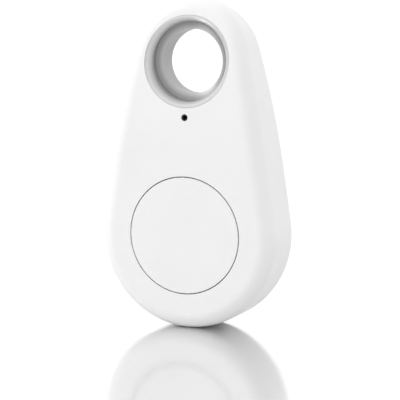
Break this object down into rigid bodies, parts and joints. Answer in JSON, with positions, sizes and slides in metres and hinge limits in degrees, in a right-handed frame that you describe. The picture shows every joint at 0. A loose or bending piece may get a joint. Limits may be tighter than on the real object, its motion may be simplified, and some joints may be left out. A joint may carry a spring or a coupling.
{
  "type": "bluetooth tracker tag",
  "caption": "Flat teardrop tracker tag with a lined eyelet for a key ring, a round push button and a coin cell under a snap-off back cover.",
  "frame": {"origin": "centre of the eyelet's bore, on its axis, half way through the bulb's thickness", "axes": "+Z from the bulb up to the eyelet end, -Y out of the face with the button, +Y out of the back cover, +X to the right seen from the front"},
  "size_m": [0.0294, 0.0116, 0.052],
  "materials": {
    "case_plastic": "satin white moulded plastic",
    "grey_plastic": "satin silver-grey painted plastic",
    "black_plastic": "matte",
    "sleeve_rubber": "dark grey rubber",
    "plated_steel": "nickel plated sheet",
    "tinned_metal": "tinned",
    "board_laminate": "green solder mask on glass laminate",
    "gold_copper": "copper",
    "capacitor_ceramic": "fired ceramic",
    "clear_epoxy": "clear epoxy",
    "magnet_ferrite": "sintered",
    "cell_steel": "bright steel"
  },
  "bodies": {
    "root": {"front_shell": "case_plastic", "front_eyelet_ring": "grey_plastic", "circuit_board": "board_laminate", "printed_antenna": "gold_copper", "radio_chip": "black_plastic", "radio_crystal": "plated_steel", "clock_crystal": "plated_steel", "chip_capacitors": "capacitor_ceramic", "chip_resistors": "black_plastic", "matching_inductors": "capacitor_ceramic", "indicator_led_base": "capacitor_ceramic", "indicator_led_lens": "clear_epoxy", "indicator_sleeve": "sleeve_rubber", "sounder_case": "black_plastic", "sounder_base": "board_laminate", "sounder_pole": "plated_steel", "sounder_coil": "gold_copper", "sounder_magnet": "magnet_ferrite", "sounder_diaphragm": "plated_steel", "switch_base": "black_plastic", "switch_frame": "plated_steel", "switch_dome": "plated_steel", "switch_terminals": "tinned_metal", "cell_holder": "black_plastic", "positive_contact": "plated_steel", "negative_contact": "plated_steel"},
    "button": {"button_cap": "case_plastic"},
    "plunger": {"switch_plunger": "black_plastic"},
    "cover": {"rear_cover": "case_plastic", "rear_eyelet_ring": "grey_plastic"},
    "cell": {"cell_can": "cell_steel", "cell_gasket": "black_plastic", "cell_cap": "cell_steel"}
  },
  "joints": [
    {"name": "button_press", "type": "slide", "parent": "root", "child": "button", "axis": [0, 1, 0], "range_m": [0, 0.00025], "stiffness_N_per_m": 2000},
    {"name": "plunger_press", "type": "slide", "parent": "root", "child": "plunger", "axis": [0, 1, 0], "range_m": [0, 0.00025], "deforming": ["switch_dome"]},
    {"name": "cover_pull", "type": "slide", "parent": "root", "child": "cover", "axis": [0, 1, 0], "range_m": [0, 0.02]},
    {"name": "cell_lift", "type": "slide", "parent": "root", "child": "cell", "axis": [0, 1, 0], "range_m": [0, 0.01]}
  ],
  "couplings": [
    {"joint": "plunger_press", "follows": "button_press", "ratio": 1},
    {"joint": "cell_lift", "follows": "cover_pull", "ratio": 0.5}
  ]
}
